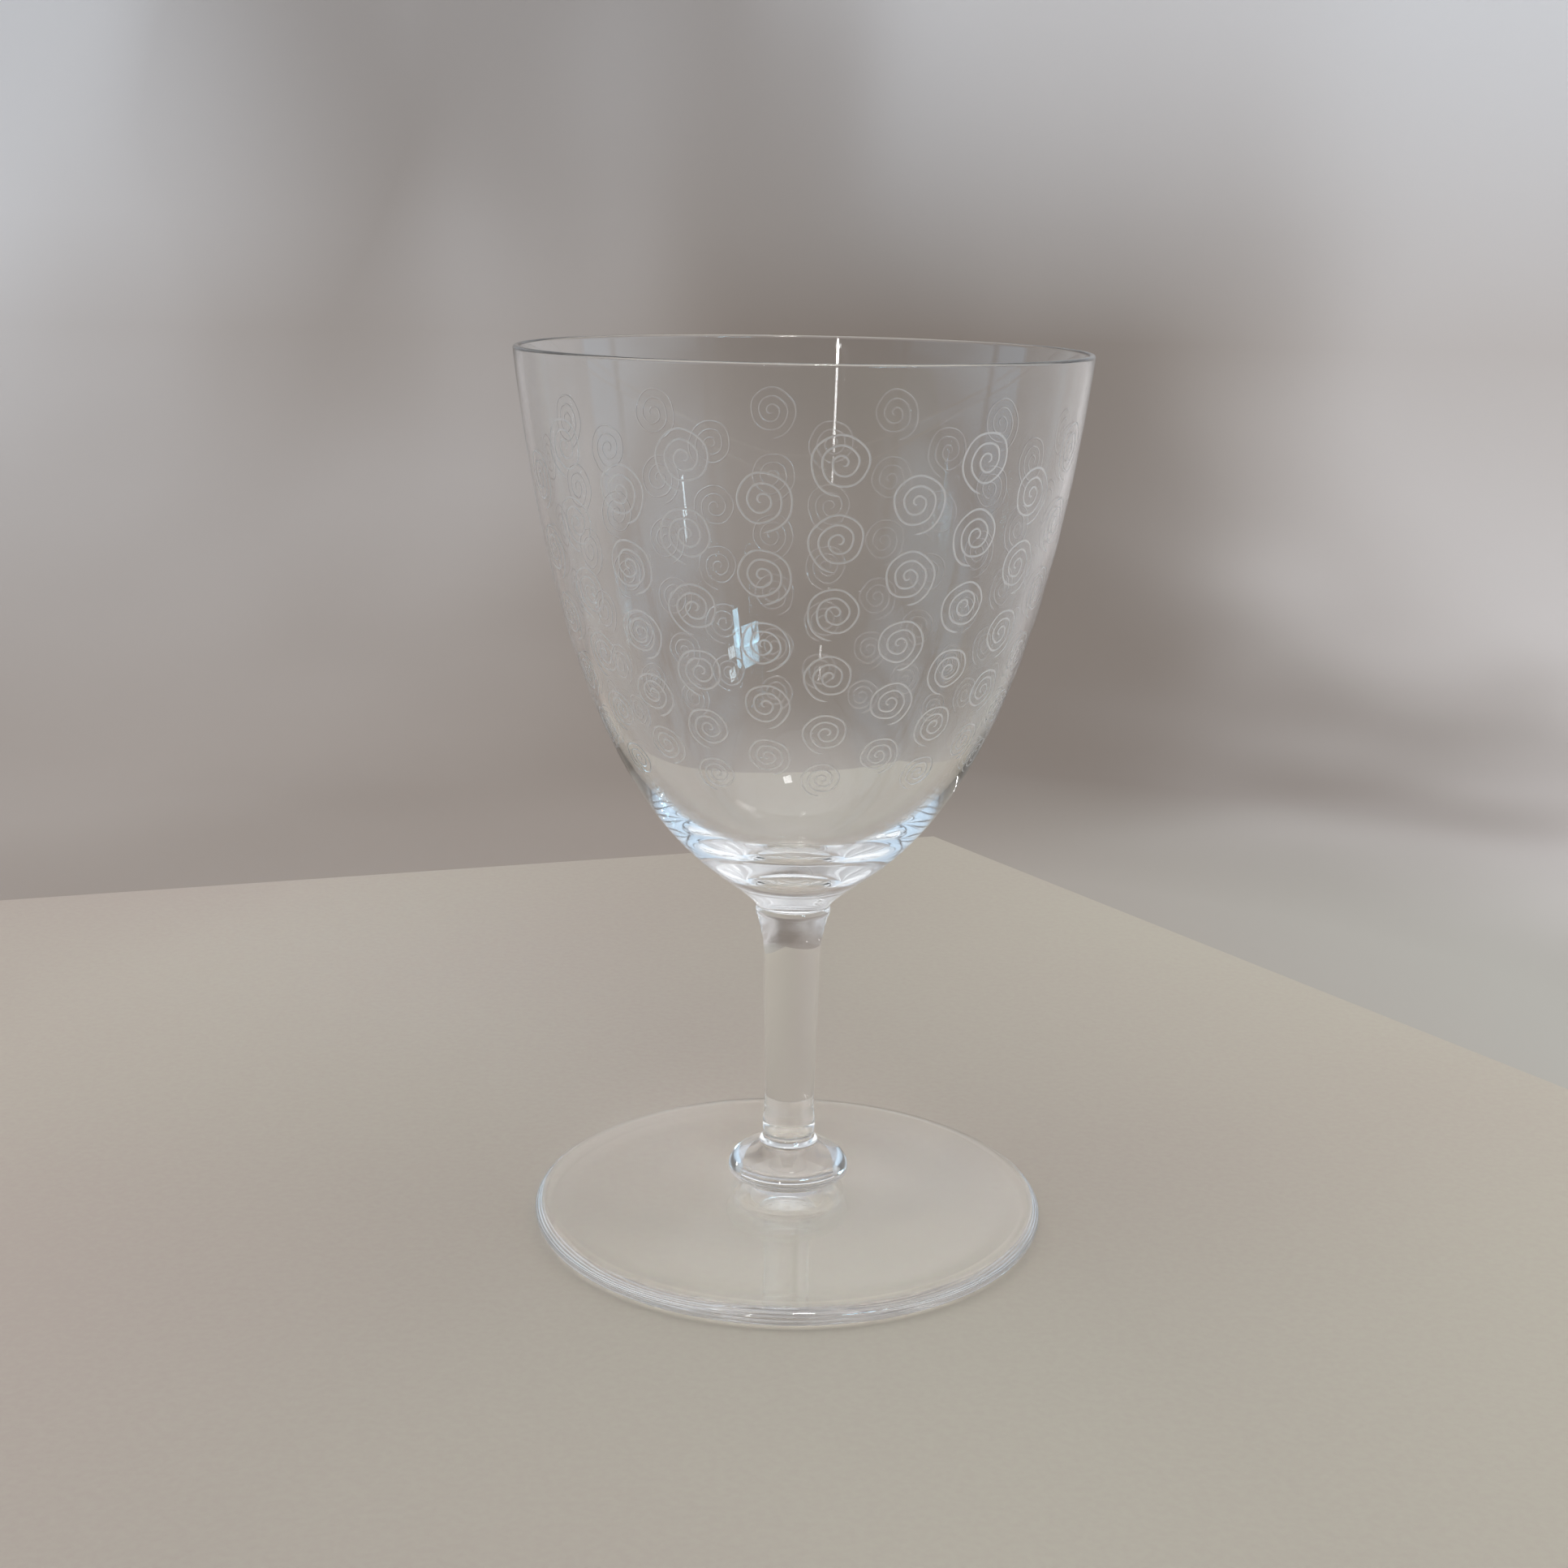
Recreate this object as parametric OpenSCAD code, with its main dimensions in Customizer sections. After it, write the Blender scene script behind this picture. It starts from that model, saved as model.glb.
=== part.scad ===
// Stemmed wine glass in clear glass, built from the four gathers of glass it is fused from:
// bowl, stem, merese (the button under the stem) and foot.
// The origin is the centre of the resting face, and +Z runs up the axis of the glass.
// Every piece is a turned outline. Neighbouring pieces meet on a flat seam and don't overlap.

/* [Overall] */
// Height from the resting face to the top of the rim
glass_height = 130; // [112:1:150]
// Outside diameter of the rim
rim_diameter = 80.6; // [70:0.2:94]
// Outside diameter of the foot
foot_diameter = 77; // [64:0.5:90]

/* [Bowl] */
// Height of the seam between bowl and stem
bowl_seam_height = 49; // [44:0.5:56]
// Thickness of the wall at the rim
rim_wall = 0.95; // [0.8:0.05:1.6]
// Solid glass between the seam and the lowest point inside
floor_thickness = 6.8; // [4.5:0.1:8]
// Radius of the bowl's tip just above the seam
tip_radius = 5.6; // [5.2:0.1:6.4]

/* [Stem] */
// Height of the seam between stem and merese
stem_seam_height = 11.4; // [10.4:0.1:12.4]
// Radius at the top, where the stem flares out to the bowl
stem_top_radius = 5.5; // [5.1:0.1:5.8]
// Radius just under the flare
stem_radius = 4.2; // [3.8:0.1:4.8]
// Radius at the narrowest place, above the bead
stem_waist_radius = 3.75; // [3.4:0.05:4.1]
// Radius of the seam with the merese
stem_seam_radius = 4.45; // [4.2:0.05:5]

/* [Merese] */
// Radius of the merese at its widest
merese_radius = 9.1; // [8:0.1:11]
// Radius of the neck where merese and foot are fused
merese_seam_radius = 5.4; // [5:0.1:6.5]
// Height of the seam between merese and foot
merese_seam_height = 5.9; // [5.6:0.1:6.4]

/* [Foot] */
// Thickness of the rounded edge
foot_edge = 2.9; // [2.2:0.1:3.4]
// How far the underside rises at its centre
foot_hollow = 1.6; // [0.4:0.1:2.2]

/* [Hidden] */

rim_radius = rim_diameter / 2;
foot_radius = foot_diameter / 2;
bowl_height = glass_height - bowl_seam_height;
stem_height = bowl_seam_height - stem_seam_height;
// Rounded corner at the foot of the bowl's tip, and the radius of the flat seam inside it
tip_corner = 0.3;
seam_radius = tip_radius - tip_corner;
// Width of the foot's rounded edge beyond the resting ring, and width of the ring itself
edge_reach = 2.9;
ring_width = 2;
// Outline steps in one long curve and in one short corner
long_steps = 40;
short_steps = 6;

// Points on a cubic curve with end points p[0] and p[3] and handles p[1] and p[2].
// The first point is left out, since each stretch starts where the one before it ends.
function curve(p, steps) = [
    for (i = [1:steps])
        let (t = i / steps, s = 1 - t)
            s * s * s * p[0] + 3 * s * s * t * p[1] + 3 * s * t * t * p[2] + t * t * t * p[3]
];

function backwards(points) = [for (i = [len(points) - 1:-1:0]) points[i]];

// Turns an outline of [radius, height] points about the axis
module turned(outline) {
    rotate_extrude() polygon(outline);
}

// Deep ogee bowl: narrow solid tip, full belly, wall thinning towards a rounded rim
module bowl() {
    seam = bowl_seam_height;
    floor_height = seam + floor_thickness;
    lip = rim_wall / 2;
    tip = [tip_radius, seam + tip_corner];
    rim_outside = [rim_radius, glass_height - lip];
    rim_inside = [rim_radius - rim_wall, glass_height - lip];
    outside = curve([
        tip,
        [tip_radius + 0.113 * rim_radius, seam + 0.083 * bowl_height],
        [0.805 * rim_radius, seam + 0.118 * bowl_height],
        rim_outside
    ], long_steps);
    inside = curve([
        [0, floor_height],
        [0.285 * rim_radius, floor_height],
        [0.805 * rim_radius - 1.3 * rim_wall, floor_height + 0.08 * bowl_height],
        rim_inside
    ], long_steps);
    rim = [
        for (i = [1:short_steps - 1])
            let (angle = 180 * i / short_steps)
                [rim_radius - lip + lip * cos(angle), glass_height - lip + lip * sin(angle)]
    ];
    corner_round = curve([
        [seam_radius, seam],
        [seam_radius + tip_corner / 2, seam],
        [tip_radius, seam + tip_corner / 2],
        tip
    ], short_steps);
    turned(concat(
        [[0, floor_height], [0, seam], [seam_radius, seam]],
        corner_round, outside, rim, backwards(inside)
    ));
}

// Drawn round stem: seam ring and bead at the bottom, slight taper, flare at the top
module stem() {
    low = stem_seam_height;
    high = bowl_seam_height;
    bead = [stem_waist_radius + 0.22, low + 0.075 * stem_height];
    cove = [stem_waist_radius + 0.1, low + 0.04 * stem_height];
    waist = [stem_waist_radius, low + 0.17 * stem_height];
    under_flare = [stem_radius, low + 0.77 * stem_height];
    shoulder = [stem_top_radius, high - 1.1];
    ring = [stem_seam_radius, low];
    top = [seam_radius, high];
    turned(concat(
        [[0, high], [0, low], ring],
        curve([ring, ring + [-0.1, 0.7], cove - [0, 0.5], cove], short_steps),
        curve([cove, cove + [0, 0.4], bead - [0, 0.6], bead], short_steps),
        curve([bead, bead + [0, 1.1], waist - [0, 2], waist], short_steps),
        curve([waist, waist + [0, 8], under_flare - [0, 8], under_flare], short_steps),
        curve([under_flare, under_flare + [0, 3.2], shoulder - [0.75, 2], shoulder], 2 * short_steps),
        curve([shoulder, shoulder + [0.15, 0.5], [stem_top_radius, high - 0.1], top], short_steps)
    ));
}

// Merese: the domed cushion of glass that joins stem and foot, tucked in underneath to a neck
module merese() {
    low = merese_seam_height;
    high = stem_seam_height;
    widest = [merese_radius, low + 0.26 * (high - low)];
    dome = high - widest[1];
    turned(concat(
        [[0, high], [0, low], [merese_seam_radius, low]],
        curve([
            [merese_seam_radius, low],
            [merese_seam_radius + 0.7 * (merese_radius - merese_seam_radius), low + 0.1],
            widest - [0, 0.9],
            widest
        ], long_steps / 4),
        curve([
            widest,
            widest + [0, 0.48 * dome],
            [0.45 * merese_radius + 0.65 * stem_seam_radius, high - 0.28 * dome],
            [stem_seam_radius, high]
        ], long_steps / 2)
    ));
}

// Disc foot: hollow underside, flat resting ring, rounded edge, top rising to the merese in a cove
module foot() {
    ring_outside = foot_radius - edge_reach;
    ring_inside = ring_outside - ring_width;
    middle = foot_edge / 2;
    edge = [foot_radius, middle];
    bend = [0, 0.7 * middle];
    roll = 0.66 * edge_reach;
    top_outside = [ring_outside, foot_edge];
    turned(concat(
        [[0, merese_seam_height], [0, foot_hollow]],
        curve([
            [0, foot_hollow],
            [0.4 * foot_radius, foot_hollow],
            [0.65 * foot_radius, 0],
            [ring_inside, 0]
        ], long_steps / 2),
        [[ring_outside, 0]],
        curve([[ring_outside, 0], [ring_outside + roll, 0], edge - bend, edge], short_steps),
        curve([edge, edge + bend, top_outside + [roll, 0], top_outside], short_steps),
        curve([
            top_outside,
            [0.57 * foot_radius, foot_edge + 1.2],
            [merese_seam_radius + 3.6, merese_seam_height - 1.2],
            [merese_seam_radius, merese_seam_height]
        ], long_steps / 2)
    ));
}

color("lightblue") bowl();
color("lightgrey") stem();
color("skyblue") merese();
color("lightsteelblue") foot();
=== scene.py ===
"""Looks of the wine glass: clear pieces turned from the CAD outlines, and a band of etched spirals.

Lengths are in metres. The sizes that the CAD boxes give are read from the frame; the others repeat part.scad.
"""

import math
import random
from bisect import bisect

import bpy
from mathutils import Matrix, Vector
from mathutils.geometry import delaunay_2d_cdt
from mathutils.kdtree import KDTree


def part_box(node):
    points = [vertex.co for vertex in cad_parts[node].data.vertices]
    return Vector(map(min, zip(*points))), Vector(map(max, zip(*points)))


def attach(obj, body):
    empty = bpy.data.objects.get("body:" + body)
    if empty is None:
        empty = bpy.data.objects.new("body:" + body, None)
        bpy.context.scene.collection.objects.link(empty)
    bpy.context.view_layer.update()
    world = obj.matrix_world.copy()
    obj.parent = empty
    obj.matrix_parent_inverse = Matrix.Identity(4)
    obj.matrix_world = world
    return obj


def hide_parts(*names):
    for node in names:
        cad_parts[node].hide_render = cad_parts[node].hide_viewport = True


MM = 0.001

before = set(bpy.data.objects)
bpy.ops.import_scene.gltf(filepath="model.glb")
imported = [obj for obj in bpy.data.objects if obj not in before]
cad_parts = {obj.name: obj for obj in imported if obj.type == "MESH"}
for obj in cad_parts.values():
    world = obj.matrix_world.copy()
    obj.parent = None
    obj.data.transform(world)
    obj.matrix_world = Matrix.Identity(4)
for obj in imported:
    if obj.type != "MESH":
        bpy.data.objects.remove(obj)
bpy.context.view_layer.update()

# ---------------------------------------------------------------- camera

# The photographer stood in front of the glass (-Y) and looked down at it, with the phone a little tilted
CAMERA_DISTANCE = 304.1 * MM
CAMERA_HEIGHT = 144.3 * MM
CAMERA_TURN = math.radians(-0.315)
CAMERA_DOWN = math.radians(14.208)
CAMERA_ROLL = math.radians(1.059)
SENSOR_WIDTH = 36.0
# Focal length over picture width
FOCAL_RATIO = 1.3675


def make_camera():
    data = bpy.data.cameras.new("camera")
    data.sensor_width = SENSOR_WIDTH
    data.lens = FOCAL_RATIO * SENSOR_WIDTH
    data.clip_start = 0.01
    camera = bpy.data.objects.new("camera", data)
    bpy.context.scene.collection.objects.link(camera)
    aim = (
        Matrix.Rotation(-CAMERA_TURN, 4, "Z")
        @ Matrix.Rotation(math.pi / 2 - CAMERA_DOWN, 4, "X")
        @ Matrix.Rotation(CAMERA_ROLL, 4, "Z")
    )
    camera.matrix_world = Matrix.Translation((0, -CAMERA_DISTANCE, CAMERA_HEIGHT)) @ aim
    bpy.context.scene.camera = camera


make_camera()

# ---------------------------------------------------------------- outlines

AROUND = 240  # faces round every turned surface
WELD = 0.0005 * MM  # points closer than this become one
FACE_ANGLE = 2 * math.pi / AROUND

GLASS_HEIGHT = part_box("bowl")[1].z
RIM_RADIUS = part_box("bowl")[1].x
BOWL_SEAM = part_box("bowl")[0].z
STEM_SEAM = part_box("stem")[0].z
MERESE_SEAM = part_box("merese")[0].z
MERESE_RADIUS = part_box("merese")[1].x
FOOT_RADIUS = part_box("foot")[1].x
BOWL_HEIGHT = GLASS_HEIGHT - BOWL_SEAM
STEM_HEIGHT = BOWL_SEAM - STEM_SEAM

RIM_WALL = 0.95 * MM
FLOOR_THICKNESS = 6.8 * MM
TIP_RADIUS = 5.6 * MM
TIP_CORNER = 0.3 * MM
SEAM_RADIUS = TIP_RADIUS - TIP_CORNER
STEM_TOP_RADIUS = 5.5 * MM
STEM_RADIUS = 4.2 * MM
STEM_WAIST_RADIUS = 3.75 * MM
STEM_SEAM_RADIUS = 4.45 * MM
MERESE_SEAM_RADIUS = 5.4 * MM
FOOT_EDGE = 2.9 * MM
FOOT_HOLLOW = 1.6 * MM
EDGE_REACH = 2.9 * MM
RING_WIDTH = 2 * MM


def curve(a, b, c, d, steps):
    """Points on the cubic curve from a to d with handles b and c, without a itself."""
    points = []
    for i in range(1, steps + 1):
        t = i / steps
        s = 1 - t
        points.append(s**3 * a + 3 * s * s * t * b + 3 * s * t * t * c + t**3 * d)
    return points


def up(p, rise):
    """The (radius, height) point p moved up by rise."""
    return Vector((p[0], p[1] + rise))


def bowl_outside():
    """The bowl's outer wall, from just above the tip's rounded corner to the rim."""
    tip = Vector((TIP_RADIUS, BOWL_SEAM + TIP_CORNER))
    rim = Vector((RIM_RADIUS, GLASS_HEIGHT - RIM_WALL / 2))
    flare = Vector((TIP_RADIUS + 0.113 * RIM_RADIUS, BOWL_SEAM + 0.083 * BOWL_HEIGHT))
    belly = Vector((0.805 * RIM_RADIUS, BOWL_SEAM + 0.118 * BOWL_HEIGHT))
    return [tip] + curve(tip, flare, belly, rim, 96)


def bowl_inside():
    """The inner wall, from the rim down to the middle of the floor."""
    floor_height = BOWL_SEAM + FLOOR_THICKNESS
    rim = Vector((RIM_RADIUS - RIM_WALL, GLASS_HEIGHT - RIM_WALL / 2))
    belly = Vector((0.805 * RIM_RADIUS - 1.3 * RIM_WALL, floor_height + 0.08 * BOWL_HEIGHT))
    flat = Vector((0.285 * RIM_RADIUS, floor_height))
    middle = Vector((0, floor_height))
    return [rim] + curve(rim, belly, flat, middle, 64)


def rim_round():
    """The rounded lip, from the outer wall over to the inner wall."""
    lip = RIM_WALL / 2
    centre = Vector((RIM_RADIUS - lip, GLASS_HEIGHT - lip))
    angles = [math.pi * i / 12 for i in range(13)]
    return [centre + lip * Vector((math.cos(a), math.sin(a))) for a in angles]


def tip_round():
    """The small rounded corner between the flat seam and the bowl's tip."""
    low = Vector((SEAM_RADIUS, BOWL_SEAM))
    high = Vector((TIP_RADIUS, BOWL_SEAM + TIP_CORNER))
    return [low] + curve(
        low,
        Vector((SEAM_RADIUS + TIP_CORNER / 2, BOWL_SEAM)),
        Vector((TIP_RADIUS, BOWL_SEAM + TIP_CORNER / 2)),
        high,
        8,
    )


def stem_side():
    """The stem's side, from the seam ring on the merese to the seam with the bowl."""
    ring = Vector((STEM_SEAM_RADIUS, STEM_SEAM))
    cove = Vector((STEM_WAIST_RADIUS + 0.1 * MM, STEM_SEAM + 0.04 * STEM_HEIGHT))
    bead = Vector((STEM_WAIST_RADIUS + 0.22 * MM, STEM_SEAM + 0.075 * STEM_HEIGHT))
    waist = Vector((STEM_WAIST_RADIUS, STEM_SEAM + 0.17 * STEM_HEIGHT))
    under_flare = Vector((STEM_RADIUS, STEM_SEAM + 0.77 * STEM_HEIGHT))
    shoulder = Vector((STEM_TOP_RADIUS, BOWL_SEAM - 1.1 * MM))
    top = Vector((SEAM_RADIUS, BOWL_SEAM))
    out = Vector((-0.1, 0.7)) * MM
    drop = Vector((-0.75, -2)) * MM
    lift = Vector((0.15, 0.5)) * MM
    under_top = Vector((STEM_TOP_RADIUS, BOWL_SEAM - 0.1 * MM))
    return (
        [ring]
        + curve(ring, ring + out, up(cove, -0.5 * MM), cove, 10)
        + curve(cove, up(cove, 0.4 * MM), up(bead, -0.6 * MM), bead, 10)
        + curve(bead, up(bead, 1.1 * MM), up(waist, -2 * MM), waist, 12)
        + curve(waist, up(waist, 8 * MM), up(under_flare, -8 * MM), under_flare, 16)
        + curve(under_flare, up(under_flare, 3.2 * MM), shoulder + drop, shoulder, 24)
        + curve(shoulder, shoulder + lift, under_top, top, 10)
    )


def merese_side():
    """The merese's side, from the foot out to its widest and up over its domed top to the stem."""
    low = Vector((MERESE_SEAM_RADIUS, MERESE_SEAM))
    high = Vector((STEM_SEAM_RADIUS, STEM_SEAM))
    widest = Vector((MERESE_RADIUS, MERESE_SEAM + 0.26 * (STEM_SEAM - MERESE_SEAM)))
    dome = STEM_SEAM - widest[1]
    under = Vector((MERESE_SEAM_RADIUS + 0.7 * (MERESE_RADIUS - MERESE_SEAM_RADIUS), MERESE_SEAM + 0.1 * MM))
    slope = Vector((0.45 * MERESE_RADIUS + 0.65 * STEM_SEAM_RADIUS, STEM_SEAM - 0.28 * dome))
    return (
        [low]
        + curve(low, under, up(widest, -0.9 * MM), widest, 40)
        + curve(widest, up(widest, 0.48 * dome), slope, high, 72)
    )


def foot_side():
    """The foot's outline, from the middle of its hollow underside round the edge to the merese."""
    middle = Vector((0, FOOT_HOLLOW))
    ring_outside = Vector((FOOT_RADIUS - EDGE_REACH, 0))
    ring_inside = ring_outside - Vector((RING_WIDTH, 0))
    edge = Vector((FOOT_RADIUS, FOOT_EDGE / 2))
    top_outside = up(ring_outside, FOOT_EDGE)
    roll = Vector((0.66 * EDGE_REACH, 0))
    third = Vector((RING_WIDTH / 3, 0))
    bend = 0.7 * FOOT_EDGE / 2
    hollow = [Vector((0.4 * FOOT_RADIUS, FOOT_HOLLOW)), Vector((0.65 * FOOT_RADIUS, 0))]
    shoulder = [
        Vector((0.57 * FOOT_RADIUS, FOOT_EDGE + 1.2 * MM)),
        Vector((MERESE_SEAM_RADIUS + 3.6 * MM, MERESE_SEAM - 1.2 * MM)),
    ]
    return (
        [middle]
        + curve(middle, *hollow, ring_inside, 32)
        + curve(ring_inside, ring_inside + third, ring_outside - third, ring_outside, 4)
        + curve(ring_outside, ring_outside + roll, up(edge, -bend), edge, 48)
        + curve(edge, up(edge, bend), top_outside + roll, top_outside, 48)
        + curve(top_outside, *shoulder, Vector((MERESE_SEAM_RADIUS, MERESE_SEAM)), 36)
    )


# ---------------------------------------------------------------- mesh building


class Shell:
    """A closed mesh in the making: points, faces, each face's material and the normal at each face corner."""

    def __init__(self):
        self.points = []
        self.faces = []
        self.looks = []
        self.normals = []
        self.known = {}

    def point(self, co):
        """The index of the vertex at co, which neighbouring faces share."""
        key = tuple(round(c / WELD) for c in co)
        if key not in self.known:
            self.known[key] = len(self.points)
            self.points.append(tuple(co))
        return self.known[key]

    def face(self, corners, normals, look):
        indices = [self.point(c) for c in corners]
        if len(set(indices)) < len(indices):
            keep = [k for k in range(len(indices)) if indices[k] != indices[k - 1]]
            indices = [indices[k] for k in keep]
            normals = [normals[k] for k in keep]
        if len(indices) < 3:
            return
        self.faces.append(indices)
        self.looks.append(look)
        self.normals.extend(normals)

    def build(self, name, materials):
        mesh = bpy.data.meshes.new(name)
        mesh.from_pydata(self.points, [], self.faces)
        for material in materials:
            mesh.materials.append(material)
        mesh.polygons.foreach_set("material_index", self.looks)
        mesh.polygons.foreach_set("use_smooth", [True] * len(self.faces))
        mesh.normals_split_custom_set([tuple(n) for n in self.normals])
        mesh.validate()
        piece = bpy.data.objects.new(name, mesh)
        bpy.context.scene.collection.objects.link(piece)
        return piece


def ring_angle(k):
    """The angle of the k-th point round a turned surface."""
    return FACE_ANGLE * (k % AROUND)


def turned_point(angle, radius, height):
    return Vector((radius * math.cos(angle), radius * math.sin(angle), height))


def outline_normals(points):
    """Unit normals of an outline, pointing to the right of its direction of travel."""
    normals = []
    last = len(points) - 1
    for i in range(len(points)):
        along = points[min(i + 1, last)] - points[max(i - 1, 0)]
        normals.append(Vector((along[1], -along[0])).normalized())
    return normals


def turn(shell, points, normals, look):
    """Adds the surface of one smooth outline. Glass lies to the left of the outline's direction of travel."""
    for i in range(len(points) - 1):
        for k in range(AROUND):
            places = [(k, i), (k + 1, i), (k + 1, i + 1), (k, i + 1)]
            shell.face(
                [turned_point(ring_angle(a), *points[j]) for a, j in places],
                [turned_point(ring_angle(a), *normals[j]) for a, j in places],
                look,
            )


def cap(shell, radius, height, upward, look):
    """Adds the flat disc where two pieces are fused."""
    normal = Vector((0, 0, 1 if upward else -1))
    steps = range(AROUND) if upward else range(AROUND - 1, -1, -1)
    shell.face([turned_point(ring_angle(k), radius, height) for k in steps], [normal] * AROUND, look)


# ---------------------------------------------------------------- etched pattern

# A plain lattice of equal spirals. Each column of spirals has its own sector of the bowl, and its neighbours
# are its mirror images, half a step lower or higher. A spiral is drawn flat. Across, it is measured in
# degrees from the sector's side. Up, it is measured in millimetres along the wall from its middle.
COLUMNS = 24
COLUMN_DEGREES = 360 / COLUMNS
COLUMN_FACES = AROUND // COLUMNS
BAND_LOW = 0.25  # lower and upper edge of the band, as shares of the bowl's height
BAND_HIGH = 0.9
SPIRAL_REACH = 0.42  # a spiral's radius, as a share of the step from column to column
SPIRAL_TURNS = 3.2
SPIRAL_START = 0.9  # how far round a spiral starts, in radians
SPIRAL_STEP = 0.3
# How a hand-drawn spiral wanders: its middle, its number of turns and its reach vary by up to this
MIDDLE_SHIFT = 0.15
TURNS_SHIFT = 0.1
SWAY = 0.014
DRAWING_SEED = 11
LINE_HALF_WIDTH = 0.14 * MM
LINE_DEPTH = 0.035 * MM
LINE_TAPER = 0.8 * MM
EDGE_SLOPE = 0.45  # how steeply a groove's side starts
FILL_PITCH = 1.5 * MM
FILL_CLEARANCE = 0.4
TOLERANCE = 1e-6


def spiral(draw, radii):
    """A hand-drawn spiral from its middle outwards, which ends at the bottom."""
    shift_x = draw.uniform(-MIDDLE_SHIFT, MIDDLE_SHIFT)
    shift_y = draw.uniform(-MIDDLE_SHIFT, MIDDLE_SHIFT)
    centre = Vector((COLUMN_DEGREES / 2 + shift_x, shift_y))
    lobes = [(count, draw.uniform(0, 2 * math.pi)) for count in (2, 3, 5)]
    whole = 2 * math.pi * (SPIRAL_TURNS + draw.uniform(-TURNS_SHIFT, TURNS_SHIFT))
    turned = SPIRAL_START
    points = []
    while turned < whole:
        share = turned / whole
        angle = turned - whole - math.pi / 2
        sway = sum(math.cos(count * angle + phase) for count, phase in lobes)
        reach = share * (1 + SWAY * sway)
        points.append(centre + Vector((radii[0] * math.cos(angle), radii[1] * math.sin(angle))) * reach)
        turned += SPIRAL_STEP / math.sqrt(radii[1] * share)
    return points


class Wall:
    """The bowl's whole outline, and its outer wall by the distance along it."""

    def __init__(self, points):
        self.points = points
        self.normals = outline_normals(points)
        self.distances = [0.0]
        for a, b in zip(points, points[1:]):
            self.distances.append(self.distances[-1] + (b - a).length)

    def at(self, distance):
        """The (radius, height) point and normal at a distance along the outline."""
        i = min(max(bisect(self.distances, distance) - 1, 0), len(self.points) - 2)
        share = (distance - self.distances[i]) / (self.distances[i + 1] - self.distances[i])
        point = self.points[i].lerp(self.points[i + 1], share)
        return point, self.normals[i].lerp(self.normals[i + 1], share).normalized()

    def distance_to(self, height):
        """The distance along the outer wall at which it reaches a height."""
        i = next(k for k, p in enumerate(self.points) if p[1] >= height)
        share = (height - self.points[i - 1][1]) / (self.points[i][1] - self.points[i - 1][1])
        return self.distances[i - 1] + share * (self.distances[i] - self.distances[i - 1])

    def place(self, angle, distance, sunk=0.0):
        """The point at an angle and a distance, sunk into the glass, and the wall's normal there."""
        point, normal = self.at(distance)
        outward = turned_point(angle, *normal)
        return turned_point(angle, *point) - sunk * outward, outward


class Site:
    """A vertex of the etched band: its place on the wall, and on a groove's edge also the groove's middle."""

    def __init__(self, angle, distance, sunk=0.0, middle=None):
        self.angle = angle
        self.distance = distance
        self.sunk = sunk
        self.middle = middle


def groove_sites(wall, line):
    """The left edge, middle and right edge of one groove, which comes to a point at both ends."""
    radius = [wall.at(distance)[0][0] for _, distance in line]
    flat = [Vector((angle * r, distance)) for (angle, distance), r in zip(line, radius)]
    run = [0.0]
    for a, b in zip(flat, flat[1:]):
        run.append(run[-1] + (b - a).length)
    left = []
    middle = []
    right = []
    last = len(line) - 1
    for i, (angle, distance) in enumerate(line):
        to_end = min(run[i], run[-1] - run[i])
        share = min(1.0, to_end / LINE_TAPER)
        half = LINE_HALF_WIDTH * math.sqrt(share)
        if half == 0:
            tip = Site(angle, distance)
            for sites in (left, middle, right):
                sites.append(tip)
            continue
        before = line[max(i - 1, 0)]
        after = line[min(i + 1, last)]
        along = Vector(((after[0] - before[0]) * radius[i], after[1] - before[1])).normalized()
        aside = Vector((-along.y / radius[i], along.x)) * half
        centre = Site(angle, distance, LINE_DEPTH * share)
        middle.append(centre)
        left.append(Site(angle + aside.x, distance + aside.y, 0.0, centre))
        right.append(Site(angle - aside.x, distance - aside.y, 0.0, centre))
    return left, middle, right


def spiral_places(wall, band):
    """Distances along the wall to the spirals' middles, from the top down in half steps.

    A step is as long there as the columns are apart, so that the spirals are round.
    """

    def step(distance):
        return math.radians(COLUMN_DEGREES) * wall.at(distance)[0][0]

    places = [band[1] - step(band[1]) / 2]
    while places[-1] - step(places[-1]) > band[0]:
        places.append(places[-1] - step(places[-1]) / 2)
    return places


def column_grooves(wall, column, band, draw):
    """The edges and middles of every groove in one column."""
    first = ring_angle(column * COLUMN_FACES)
    reach = SPIRAL_REACH * COLUMN_DEGREES
    chains = []
    for distance in spiral_places(wall, band)[column % 2 :: 2]:
        rise = math.radians(reach) * wall.at(distance)[0][0] / MM
        placed = []
        for p in spiral(draw, (reach, rise)):
            degrees = COLUMN_DEGREES - p.x if column % 2 else p.x
            placed.append((first + math.radians(degrees), distance + p.y * MM))
        chains += groove_sites(wall, placed)
    return chains


def numbered(chains):
    """Every site of the chains once, and the steps from site to site as pairs of numbers."""
    sites = []
    numbers = {}
    edges = []
    for chain in chains:
        for site in chain:
            if site not in numbers:
                numbers[site] = len(sites)
                sites.append(site)
        edges += [(numbers[a], numbers[b]) for a, b in zip(chain, chain[1:])]
    return sites, edges


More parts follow.
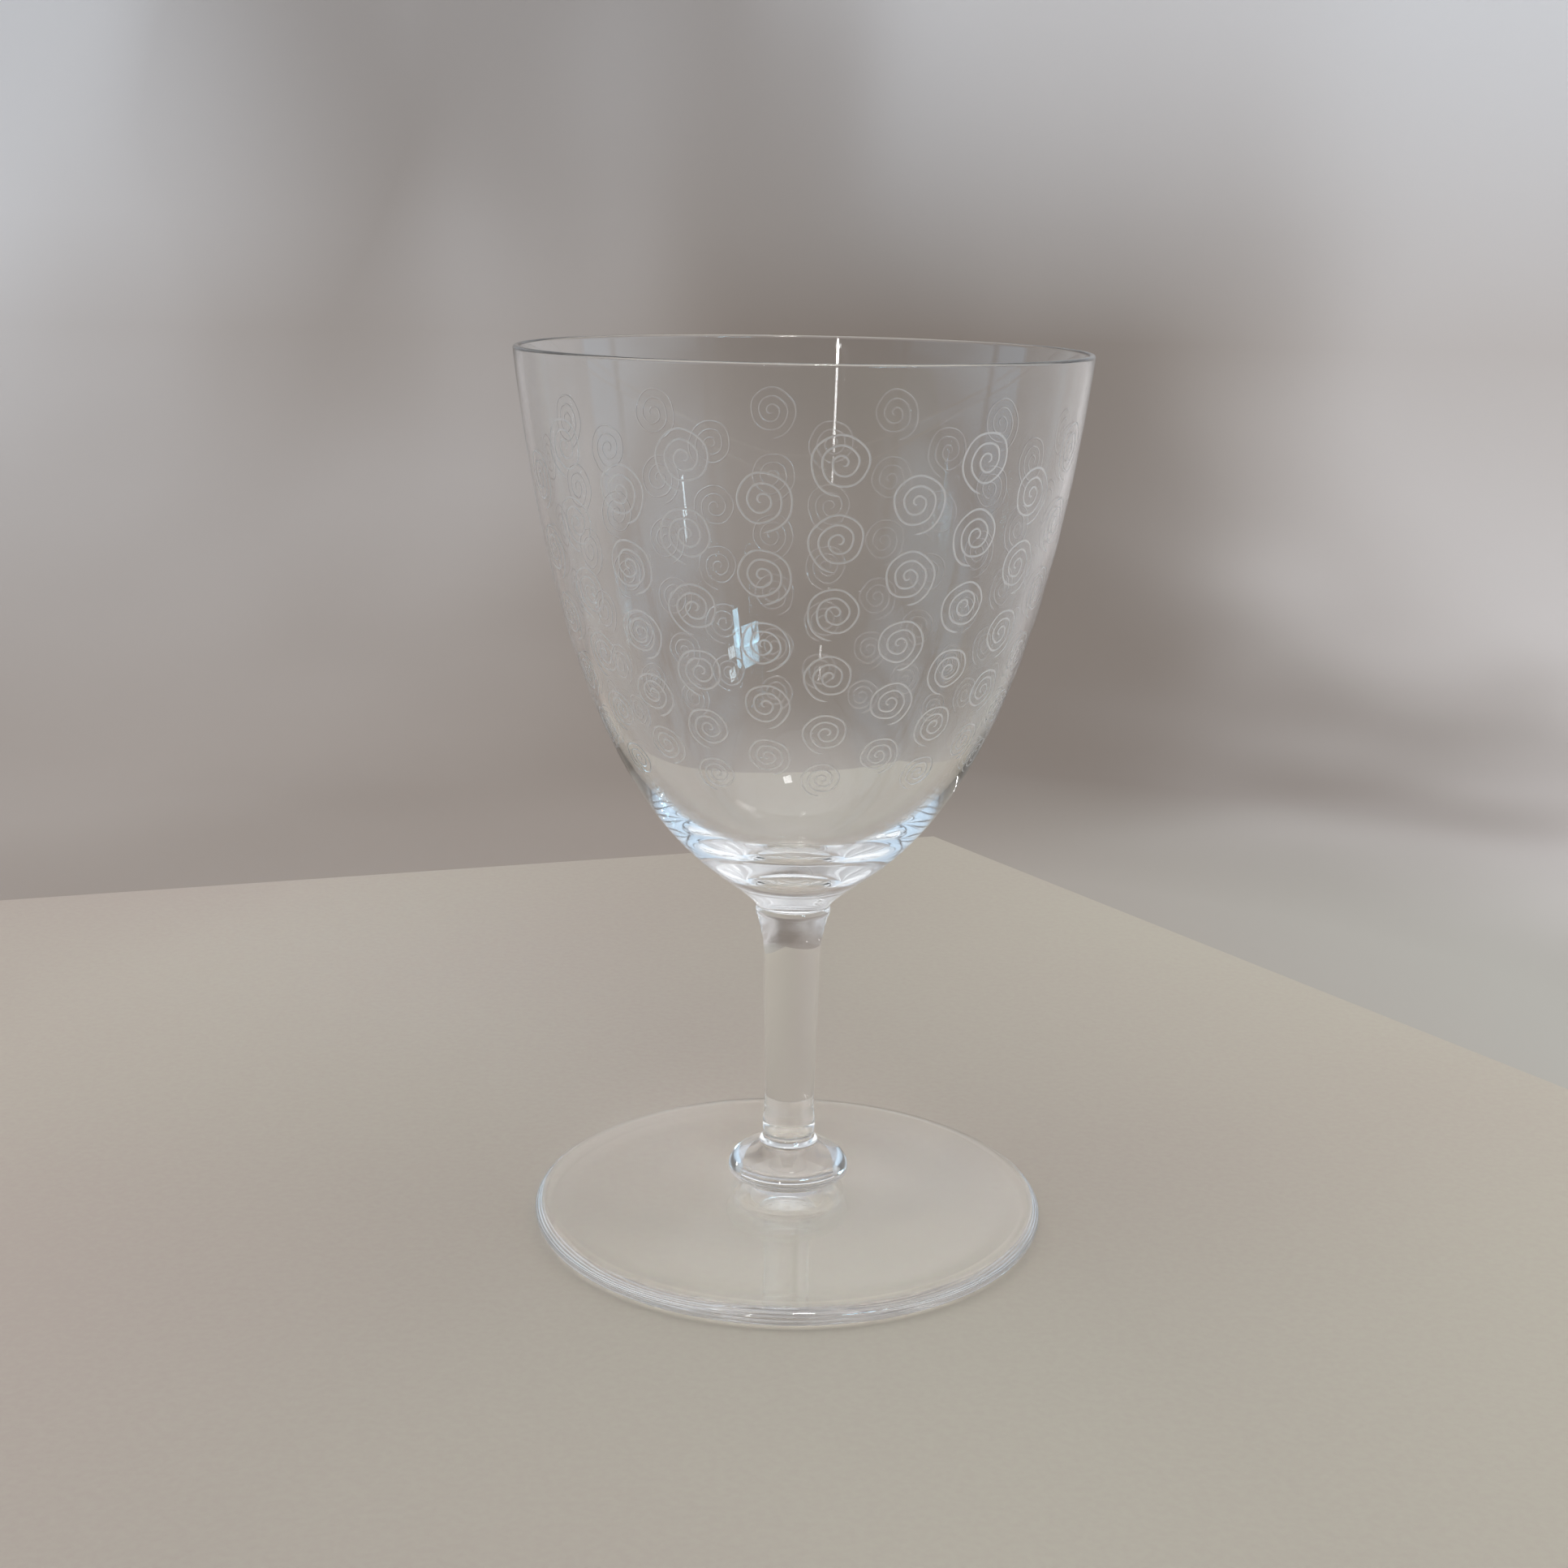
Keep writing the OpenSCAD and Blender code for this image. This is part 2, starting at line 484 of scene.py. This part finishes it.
def filling(column, band, flatten, taken):
    """Sites for a loose grid between the grooves, with every point on the sector's border."""
    grooves = KDTree(len(taken))
    for i, p in enumerate(taken):
        grooves.insert((p.x, p.y, 0), i)
    grooves.balance()
    sites = []
    rows = round((band[1] - band[0]) / FILL_PITCH)
    for row in range(rows + 1):
        distance = band[0] + (band[1] - band[0]) * row / rows
        for k in range(COLUMN_FACES + 1):
            site = Site(ring_angle(column * COLUMN_FACES) + FACE_ANGLE * k, distance)
            here = flatten(site)
            if row in (0, rows) or k in (0, COLUMN_FACES):
                sites.append(site)
            elif (k + row) % 2 == 0 and grooves.find((here.x, here.y, 0))[2] > FILL_CLEARANCE:
                sites.append(site)
    return sites


def etched_face(shell, wall, corners):
    """Adds one face of the etched band. The faces of a groove curve down from the wall into the groove."""
    placed = [wall.place(site.angle, site.distance, site.sunk) for site in corners]
    normals = [normal for _, normal in placed]
    in_groove = any(site.sunk > 0 for site in corners)
    if in_groove:
        for i, site in enumerate(corners):
            if site.middle:
                inward = wall.place(site.middle.angle, site.middle.distance)[0] - placed[i][0]
                normals[i] = (normals[i] + EDGE_SLOPE * inward.normalized()).normalized()
    shell.face([point for point, _ in placed], normals, ETCHED if in_groove else CLEAR)


def etch_column(shell, wall, column, band, draw):
    """Adds the outer wall of one sector between two distances along the outline, with its etched lines."""
    first = ring_angle(column * COLUMN_FACES)
    radius = wall.at((band[0] + band[1]) / 2)[0][0]

    def flatten(site):
        return Vector(((site.angle - first) * radius, site.distance)) / MM

    sites, edges = numbered(column_grooves(wall, column, band, draw))
    sites += filling(column, band, flatten, [flatten(site) for site in sites])
    points = [flatten(site) for site in sites]
    _, _, faces, origins, _, _ = delaunay_2d_cdt(points, edges, [], 0, TOLERANCE)
    for face in faces:
        etched_face(shell, wall, [sites[origins[i][0]] for i in face])


# ---------------------------------------------------------------- materials

GLASS_IOR = 1.52
GLASS_TINT = (0.985, 0.99, 0.99, 1)
# How clear an etched line is from outside, and from inside the glass
ETCHED_OUTSIDE = 0.62
ETCHED_INSIDE = 0.98
# Where the loss of light through a face starts, from 0 at a face seen square to 1 at one seen edge on
GRAZING_FROM = 0.75
CLEAR, FUSED, ETCHED = range(3)  # a piece's material slots


class Nodes:
    """The node tree of a material or world, with the few kinds of node that are used here."""

    def __init__(self, owner):
        owner.use_nodes = True
        self.tree = owner.node_tree
        self.shader = self.tree.nodes.get("Principled BSDF")
        self.output = self.tree.nodes.get("Material Output")

    def add(self, kind):
        return self.tree.nodes.new("ShaderNode" + kind)

    def link(self, output, socket):
        self.tree.links.new(output, socket)

    def place(self, kind="Object"):
        """The place on the object, or with "Generated" the direction from a world's middle."""
        return self.add("TexCoord").outputs[kind]

    def axes(self, place):
        """The X, Y and Z outputs of a place."""
        split = self.add("SeparateXYZ")
        self.link(place, split.inputs["Vector"])
        return split.outputs

    def noise(self, scale, detail, stretch=(1, 1, 1)):
        """A noise that is fixed to the object."""
        mapping = self.add("Mapping")
        mapping.inputs["Scale"].default_value = stretch
        texture = self.add("TexNoise")
        texture.inputs["Scale"].default_value = scale
        texture.inputs["Detail"].default_value = detail
        self.link(self.place(), mapping.inputs["Vector"])
        self.link(mapping.outputs["Vector"], texture.inputs["Vector"])
        return texture.outputs["Fac"]

    def remap(self, value, low, high, to_low, to_high):
        """The value, with low to high spread over to_low to to_high."""
        node = self.add("MapRange")
        node.inputs["From Min"].default_value = low
        node.inputs["From Max"].default_value = high
        node.inputs["To Min"].default_value = to_low
        node.inputs["To Max"].default_value = to_high
        self.link(value, node.inputs["Value"])
        return node.outputs["Result"]

    def size_of(self, value):
        """The value without its sign."""
        node = self.add("Math")
        node.operation = "ABSOLUTE"
        self.link(value, node.inputs[0])
        return node.outputs["Value"]

    def added(self, first, second):
        """The sum of two values."""
        node = self.add("Math")
        node.operation = "ADD"
        self.link(first, node.inputs[0])
        self.link(second, node.inputs[1])
        return node.outputs["Value"]

    def mixed(self, share, first, second):
        """The colour between two colours, each given as an output or as plain numbers."""
        mix = self.add("Mix")
        mix.data_type = "RGBA"
        self.link(share, mix.inputs["Factor"])
        sockets = {socket.identifier: socket for socket in mix.inputs}
        for colour, name in ((first, "A_Color"), (second, "B_Color")):
            if isinstance(colour, tuple):
                sockets[name].default_value = (*colour, 1)
            else:
                self.link(colour, sockets[name])
        return next(socket for socket in mix.outputs if socket.identifier == "Result_Color")

    def shades_along(self, value, shades):
        """A colour that changes softly through evenly spread shades as the value goes from 0 to 1."""
        ramp = self.add("ValToRGB")
        ramp.color_ramp.interpolation = "B_SPLINE"
        stops = ramp.color_ramp.elements
        while len(stops) < len(shades):
            stops.new(0.5)
        for i, shade in enumerate(shades):
            stops[i].position = i / (len(shades) - 1)
            stops[i].color = (*shade, 1)
        self.link(value, ramp.inputs["Fac"])
        return ramp.outputs["Color"]

    def bump(self, height, strength, depth):
        """Gives the shader a fine relief."""
        bump = self.add("Bump")
        bump.inputs["Strength"].default_value = strength
        bump.inputs["Distance"].default_value = depth
        self.link(height, bump.inputs["Height"])
        self.link(bump.outputs["Normal"], self.shader.inputs["Normal"])

    def let_lamp_light_through(self, facing, grazing):
        """Light reaches what stands behind the glass, with a greater loss where it only grazes the face."""
        weight = self.add("LayerWeight")
        shade = self.add("ValToRGB")
        for stop, position, level in zip(shade.color_ramp.elements, (GRAZING_FROM, 1), (facing, grazing)):
            stop.position = position
            stop.color = (level, level, level, 1)
        self.link(weight.outputs["Facing"], shade.inputs["Fac"])
        clear = self.add("BsdfTransparent")
        self.link(shade.outputs["Color"], clear.inputs["Color"])
        mix = self.add("MixShader")
        self.link(self.add("LightPath").outputs["Is Shadow Ray"], mix.inputs["Fac"])
        self.link(self.shader.outputs["BSDF"], mix.inputs[1])
        self.link(clear.outputs["BSDF"], mix.inputs[2])
        self.link(mix.outputs["Shader"], self.output.inputs["Surface"])


def clear_glass(name, ripple, dull):
    """Hand-blown clear glass with faint ripples of the given depth, and up to this rough where smudged."""
    material = bpy.data.materials.new(name)
    nodes = Nodes(material)
    inputs = nodes.shader.inputs
    inputs["Base Color"].default_value = GLASS_TINT
    inputs["IOR"].default_value = GLASS_IOR
    inputs["Transmission Weight"].default_value = 1
    smudges = nodes.noise(scale=55, detail=5, stretch=(1, 1, 0.6))
    nodes.link(nodes.remap(smudges, 0.35, 0.7, 0.3 * dull, dull), inputs["Roughness"])
    ripples = nodes.noise(scale=90, detail=1.5, stretch=(1, 1, 0.35))
    nodes.bump(ripples, strength=0.5, depth=ripple)
    nodes.let_lamp_light_through(facing=1, grazing=0.5)
    return material


def etched_glass():
    """The satin inside of an acid-etched line: white from outside, faint when seen through the wall."""
    material = bpy.data.materials.new("etched_line")
    nodes = Nodes(material)
    inputs = nodes.shader.inputs
    inputs["Base Color"].default_value = (1, 1, 1, 1)
    inputs["IOR"].default_value = GLASS_IOR
    from_inside = nodes.add("NewGeometry").outputs["Backfacing"]
    clearness = nodes.remap(from_inside, 0, 1, ETCHED_OUTSIDE, ETCHED_INSIDE)
    nodes.link(clearness, inputs["Transmission Weight"])
    frosting = nodes.noise(scale=900, detail=3)
    nodes.link(nodes.remap(frosting, 0.35, 0.65, 0.12, 0.24), inputs["Roughness"])
    nodes.bump(nodes.noise(scale=3000, detail=1), strength=0.2, depth=0.003 * MM)
    nodes.let_lamp_light_through(facing=0.9, grazing=0.5)
    return material


def fused_seam():
    """The flat face where two pieces are fused: glass meets glass there, so nothing shows."""
    material = bpy.data.materials.new("fused_seam")
    Nodes(material).shader.inputs["Alpha"].default_value = 0
    return material


# ---------------------------------------------------------------- pieces


def make_bowl(materials):
    shell = Shell()
    low = tip_round()
    outside = bowl_outside()
    wall = Wall(low[:-1] + outside + rim_round()[1:] + bowl_inside()[1:])
    below = bisect(wall.distances, wall.distance_to(BOWL_SEAM + BAND_LOW * BOWL_HEIGHT)) - 1
    above = bisect(wall.distances, wall.distance_to(BOWL_SEAM + BAND_HIGH * BOWL_HEIGHT))
    cap(shell, SEAM_RADIUS, BOWL_SEAM, False, FUSED)
    turn(shell, wall.points[: below + 1], wall.normals[: below + 1], CLEAR)
    draw = random.Random(DRAWING_SEED)
    for column in range(COLUMNS):
        etch_column(shell, wall, column, (wall.distances[below], wall.distances[above]), draw)
    turn(shell, wall.points[above:], wall.normals[above:], CLEAR)
    return shell.build("etched_bowl", materials)


def make_stem(materials):
    shell = Shell()
    side = stem_side()
    cap(shell, STEM_SEAM_RADIUS, STEM_SEAM, False, FUSED)
    turn(shell, side, outline_normals(side), CLEAR)
    cap(shell, SEAM_RADIUS, BOWL_SEAM, True, FUSED)
    return shell.build("drawn_stem", materials)


def make_merese(materials):
    shell = Shell()
    side = merese_side()
    cap(shell, MERESE_SEAM_RADIUS, MERESE_SEAM, False, FUSED)
    turn(shell, side, outline_normals(side), CLEAR)
    cap(shell, STEM_SEAM_RADIUS, STEM_SEAM, True, FUSED)
    return shell.build("domed_merese", materials)


def make_foot(materials):
    shell = Shell()
    side = foot_side()
    turn(shell, side, outline_normals(side), CLEAR)
    cap(shell, MERESE_SEAM_RADIUS, MERESE_SEAM, True, FUSED)
    return shell.build("spun_foot", materials)


seam = fused_seam()
etched = etched_glass()
PIECES = {
    "bowl": make_bowl([clear_glass("bowl_glass", ripple=0.004 * MM, dull=0.01), seam, etched]),
    "stem": make_stem([clear_glass("stem_glass", ripple=0.004 * MM, dull=0.015), seam]),
    "merese": make_merese([clear_glass("merese_glass", ripple=0.004 * MM, dull=0.04), seam]),
    "foot": make_foot([clear_glass("foot_glass", ripple=0.01 * MM, dull=0.05), seam]),
}
for node, piece in PIECES.items():
    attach(piece, "root")
    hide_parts(node)

# ---------------------------------------------------------------- stage and light

FLOOR_DROP = 0.2 * MM  # keeps the floor clear of the resting face
TABLE_CORNER = (0.035, 0.216)
TABLE_LEFT_TURN = math.radians(18)
TABLE_RIGHT_TURN = math.radians(33)
TABLE_SIDE = 1.7
TABLE_LEFT = (0.43, 0.353, 0.30)
TABLE_RIGHT = (0.465, 0.414, 0.333)
TABLE_TINT_REACH = 0.2  # how far to each side the table's two tints reach
TABLE_PAINTED_LIGHT_GAIN = 1.18  # painted light: how much paler the table is painted to both sides and at the back, away from the glass
PAINTED_LIGHT_REACH = (0.04, 0.16)  # how far from the glass the painted light begins and ends
BACKDROP_DISTANCE = 0.55
SWEEP_RADIUS = 0.28
SWEEP_STEPS = 24
ROOM = 1.6
# Painted light and shade of the backdrop's folds, as levels in even steps from left to right: on the ground,
# behind the glass and above it
BACKDROP_REACH = 0.4
PAINTED_FOLD_SLANT = 0.45
PAINTED_FOLD_WANDER = 0.07
HIGH_REACH = (0, 0.15)  # heights between which the low shades turn into the high ones
TOP_REACH = (0.11, 0.24)  # heights between which the high shades turn into the top ones
TABLE_END = (0.19, 0.29)  # how far from the glass the plain ground turns into backdrop cloth
GROUND_TURN = (0, 0.15)  # how far to the right the ground's painted shadow on the left turns into its paler right tint
PAINTED_FOLDS_LOW = (0.40, 0.44, 0.44, 0.37, 0.29, 0.20, 0.66, 0.74, 0.56)
PAINTED_FOLDS_HIGH = (0.75, 0.83, 0.83, 0.63, 0.36, 0.25, 0.38, 0.67, 0.64)
PAINTED_FOLDS_TOP = (0.94, 0.97, 0.98, 0.98, 0.34, 0.95, 0.85, 0.95, 0.98)
GROUND_PAINTED_SHADOW = (0.365, 0.30, 0.255)
GROUND_RIGHT = (0.49, 0.455, 0.40)
# Painted shade of the folds turns brown, painted light turns silvery
PAINTED_SHADE_BROWN = Vector((1.0, 0.73, 0.53))
PAINTED_LIGHT_SILVER = Vector((1.0, 1.0, 1.02))
# The room all round. Numbers along the directions are shares of a unit sphere
PANE_WIDTH = 0.7
PANE_HEIGHT = 0.17
BAR_WIDTH = 0.04
WINDOW_START = (0.5, 0.6)  # to each side
CAMERA_WALL_START = (-0.5, -0.8)  # to the front
CEILING_START = (0.6, 0.85)  # upwards
PANE_BLUE = (0.60, 0.82, 1.05, 1)
PANE_PALE = (0.85, 0.98, 1.1, 1)
BAR_DARK = (0.12, 0.12, 0.13, 1)
SIDE_WALL = (0.45, 0.46, 0.47)
CAMERA_WALL = (0.15, 0.145, 0.14)
CEILING = (1.45, 1.5, 1.55)
DAYLIGHT = (1.0, 0.99, 0.97)
WHITE = (1, 1, 1)
SKY = (0.72, 0.9, 1.0)
DEEP_SKY = (0.45, 0.78, 1.0)


def painted_fold_shade(level):
    """The colour of painted light and shade on the cloth where it is this pale: browner in the painted shade
    of the dark folds.
    """
    return level * PAINTED_SHADE_BROWN.lerp(PAINTED_LIGHT_SILVER, level)


# Painted light: the table's tints made paler away from the glass
def paler(colour):
    return tuple(TABLE_PAINTED_LIGHT_GAIN * level for level in colour)


def table_cloth():
    """Pale sand-coloured cloth with a fine weave and a few faint patches, a little yellower to the right, and
    with painted light that makes it paler to both sides and at the back.
    """
    material = bpy.data.materials.new("table")
    nodes = Nodes(material)
    weave = nodes.remap(nodes.noise(scale=900, detail=2), 0.3, 0.7, -0.2, 0.2)
    patches = nodes.remap(nodes.noise(scale=7, detail=1), 0.35, 0.65, -0.25, 0.25)
    axes = nodes.axes(nodes.place())
    share = nodes.remap(axes["X"], -TABLE_TINT_REACH, TABLE_TINT_REACH, 0, 1)
    share = nodes.added(share, nodes.added(weave, patches))
    # Painted light: paler to both sides and at the back, away from the glass
    backwards = nodes.remap(axes["Y"], -0.3, 0.3, -0.09, 0.09)
    away = nodes.remap(nodes.added(nodes.size_of(axes["X"]), backwards), *PAINTED_LIGHT_REACH, 0, 1)
    near = nodes.mixed(share, TABLE_LEFT, TABLE_RIGHT)
    # The tints with painted light, for the table away from the glass
    far = nodes.mixed(share, paler(TABLE_LEFT), paler(TABLE_RIGHT))
    nodes.link(nodes.mixed(away, near, far), nodes.shader.inputs["Base Color"])
    nodes.shader.inputs["Roughness"].default_value = 0.9
    return material


def backdrop_cloth():
    """Satin-grey cloth with painted light and shade of soft slanting folds: painted shade, browner, in the
    folds and low down near the ground, and painted light to both sides.

    Close to the table it is plain ground, with a painted shadow to the left and paler to the right.
    """
    material = bpy.data.materials.new("backdrop")
    nodes = Nodes(material)
    axes = nodes.axes(nodes.place())
    # Painted folds: slanting, wandering bands of painted light and shade across the flat backdrop
    slant = nodes.remap(axes["Z"], 0, 1, 0, PAINTED_FOLD_SLANT)
    wander = nodes.noise(scale=5, detail=2, stretch=(1, 1, 0.5))
    folds = nodes.remap(wander, 0.3, 0.7, -PAINTED_FOLD_WANDER, PAINTED_FOLD_WANDER)
    across = nodes.added(axes["X"], nodes.added(slant, folds))
    share = nodes.remap(across, -BACKDROP_REACH, BACKDROP_REACH, 0, 1)
    # The painted light and shade of the folds, low down, higher up and at the top
    low = nodes.shades_along(share, [painted_fold_shade(level) for level in PAINTED_FOLDS_LOW])
    high = nodes.shades_along(share, [painted_fold_shade(level) for level in PAINTED_FOLDS_HIGH])
    top = nodes.shades_along(share, [painted_fold_shade(level) for level in PAINTED_FOLDS_TOP])
    rise = nodes.remap(axes["Z"], *HIGH_REACH, 0, 1)
    above = nodes.remap(axes["Z"], *TOP_REACH, 0, 1)
    cloth = nodes.mixed(above, nodes.mixed(rise, low, high), top)
    # Painted shadow: the ground is dimmer to the left, and paler to the right
    ground = nodes.mixed(nodes.remap(axes["X"], *GROUND_TURN, 0, 1), GROUND_PAINTED_SHADOW, GROUND_RIGHT)
    away = nodes.add("VectorMath")
    away.operation = "LENGTH"
    nodes.link(nodes.place(), away.inputs[0])
    beyond_table = nodes.remap(away.outputs["Value"], *TABLE_END, 0, 1)
    nodes.link(nodes.mixed(beyond_table, ground, cloth), nodes.shader.inputs["Base Color"])
    nodes.shader.inputs["Roughness"].default_value = 0.85
    return material


def sheet(name, rows, material):
    """A stage surface through rows of points, each row as long as the others."""
    mesh = bpy.data.meshes.new(name)
    wide = len(rows[0])
    faces = []
    for i in range(len(rows) - 1):
        for k in range(wide - 1):
            corner = i * wide + k
            faces.append((corner, corner + 1, corner + wide + 1, corner + wide))
    mesh.from_pydata([p for row in rows for p in row], [], faces)
    mesh.materials.append(material)
    mesh.shade_smooth()
    stage = bpy.data.objects.new(name, mesh)
    bpy.context.scene.collection.objects.link(stage)


def make_table():
    """A flat sheet with the glass on it that ends in a corner behind the glass."""
    corner = Vector(TABLE_CORNER)
    to_left = Vector((-math.cos(TABLE_LEFT_TURN), -math.sin(TABLE_LEFT_TURN)))
    to_right = Vector((math.sin(TABLE_RIGHT_TURN), -math.cos(TABLE_RIGHT_TURN)))
    left = corner + TABLE_SIDE * to_left
    right = corner + TABLE_SIDE * to_right
    near = left + right - corner
    rows = [[(*p, -FLOOR_DROP) for p in row] for row in ((left, near), (corner, right))]
    sheet("table", rows, table_cloth())


def make_backdrop():
    """A cloth under the table that sweeps up behind it."""
    ground = -2 * FLOOR_DROP
    bend = Vector((BACKDROP_DISTANCE - SWEEP_RADIUS, ground + SWEEP_RADIUS))
    side = [Vector((-ROOM, ground))]
    for i in range(SWEEP_STEPS + 1):
        angle = math.pi / 2 * i / SWEEP_STEPS
        side.append(bend + SWEEP_RADIUS * Vector((math.sin(angle), -math.cos(angle))))
    side.append(Vector((BACKDROP_DISTANCE, ROOM)))
    sheet("backdrop", [[(-ROOM, *p), (ROOM, *p)] for p in side], backdrop_cloth())


def panel(name, azimuth, elevation, size, power, colour, distance=1.2, gleam=True):
    """A flat soft light that faces the glass. Azimuth 0 is behind the camera, and grows to the right.

    A gleam is seen in the glass, and the stage gets its light only by way of the glass.
    The other kind lights the stage and isn't seen in the glass.
    """
    data = bpy.data.lights.new(name, "AREA")
    data.shape = "RECTANGLE"
    data.size, data.size_y = size
    data.energy = power
    data.color = colour
    light = bpy.data.objects.new(name, data)
    bpy.context.scene.collection.objects.link(light)
    turned = math.radians(azimuth)
    rise = math.radians(elevation)
    across = Vector((math.sin(turned), -math.cos(turned), 0)) * math.cos(rise)
    away = across + Vector((0, 0, math.sin(rise)))
    light.visible_diffuse = not gleam
    light.visible_glossy = gleam
    light.visible_transmission = gleam
    light.location = away * distance + Vector((0, 0, 0.6 * GLASS_HEIGHT))
    light.rotation_mode = "QUATERNION"
    light.rotation_quaternion = away.to_track_quat("Z", "Y")


def make_lights():
    """One soft window for the whole picture, and the gleams on the glass."""
    panel("window", 77, 40, (0.5, 0.9), 3, DAYLIGHT, distance=1.3, gleam=False)
    panel("slit", -15, 13.8, (0.018, 0.11), 0.5, WHITE)
    panel("slit_head", -15, 11.3, (0.05, 0.014), 0.3, WHITE)
    panel("upper_slit", -15, 33, (0.022, 0.045), 0.2, WHITE)
    panel("near_pane", 31, 29.5, (0.2, 0.06), 1.3, DEEP_SKY)
    panel("tall_pane", 39, 28, (0.06, 0.1), 0.7, DEEP_SKY)
    panel("small_pane", 45, 30.5, (0.08, 0.035), 0.4, SKY)
    panel("right_gap", 61, 15.5, (0.02, 0.035), 0.1, SKY)
    panel("high_window", 20, 76, (0.1, 0.1), 2.2, WHITE)


def window_panes(nodes, axes):
    """Bright bluish panes between dark bars, for the walls to the left and right of the glass."""
    flat = nodes.add("CombineXYZ")
    nodes.link(axes["Y"], flat.inputs["X"])
    nodes.link(axes["Z"], flat.inputs["Y"])
    panes = nodes.add("TexBrick")
    panes.offset = 0
    for socket, value in (
        ("Color1", PANE_BLUE),
        ("Color2", PANE_PALE),
        ("Mortar", BAR_DARK),
        ("Scale", 1),
        ("Mortar Size", BAR_WIDTH),
        ("Mortar Smooth", 1),
        ("Brick Width", PANE_WIDTH),
        ("Row Height", PANE_HEIGHT),
    ):
        panes.inputs[socket].default_value = value
    nodes.link(flat.outputs["Vector"], panes.inputs["Vector"])
    return panes.outputs["Color"]


def make_world():
    """A soft room: bright above, windows to both sides, and a darker wall behind the camera."""
    world = bpy.data.worlds.new("room")
    bpy.context.scene.world = world
    nodes = Nodes(world)
    axes = nodes.axes(nodes.place("Generated"))
    in_window = nodes.remap(nodes.size_of(axes["X"]), *WINDOW_START, 0, 1)
    to_camera = nodes.remap(axes["Y"], *CAMERA_WALL_START, 0, 1)
    upwards = nodes.remap(axes["Z"], *CEILING_START, 0, 1)
    sides = nodes.mixed(in_window, SIDE_WALL, window_panes(nodes, axes))
    walls = nodes.mixed(to_camera, sides, CAMERA_WALL)
    room = nodes.mixed(upwards, walls, CEILING)
    nodes.link(room, world.node_tree.nodes["Background"].inputs["Color"])


make_table()
make_backdrop()
make_lights()
make_world()

# Light bounces many times inside solid glass before it gets out
BOUNCES = 32
cycles = bpy.context.scene.cycles
cycles.max_bounces = BOUNCES
cycles.glossy_bounces = BOUNCES
cycles.transmission_bounces = BOUNCES
cycles.transparent_max_bounces = BOUNCES
bpy.context.scene.view_settings.view_transform = "Standard"

bpy.context.view_layer.update()
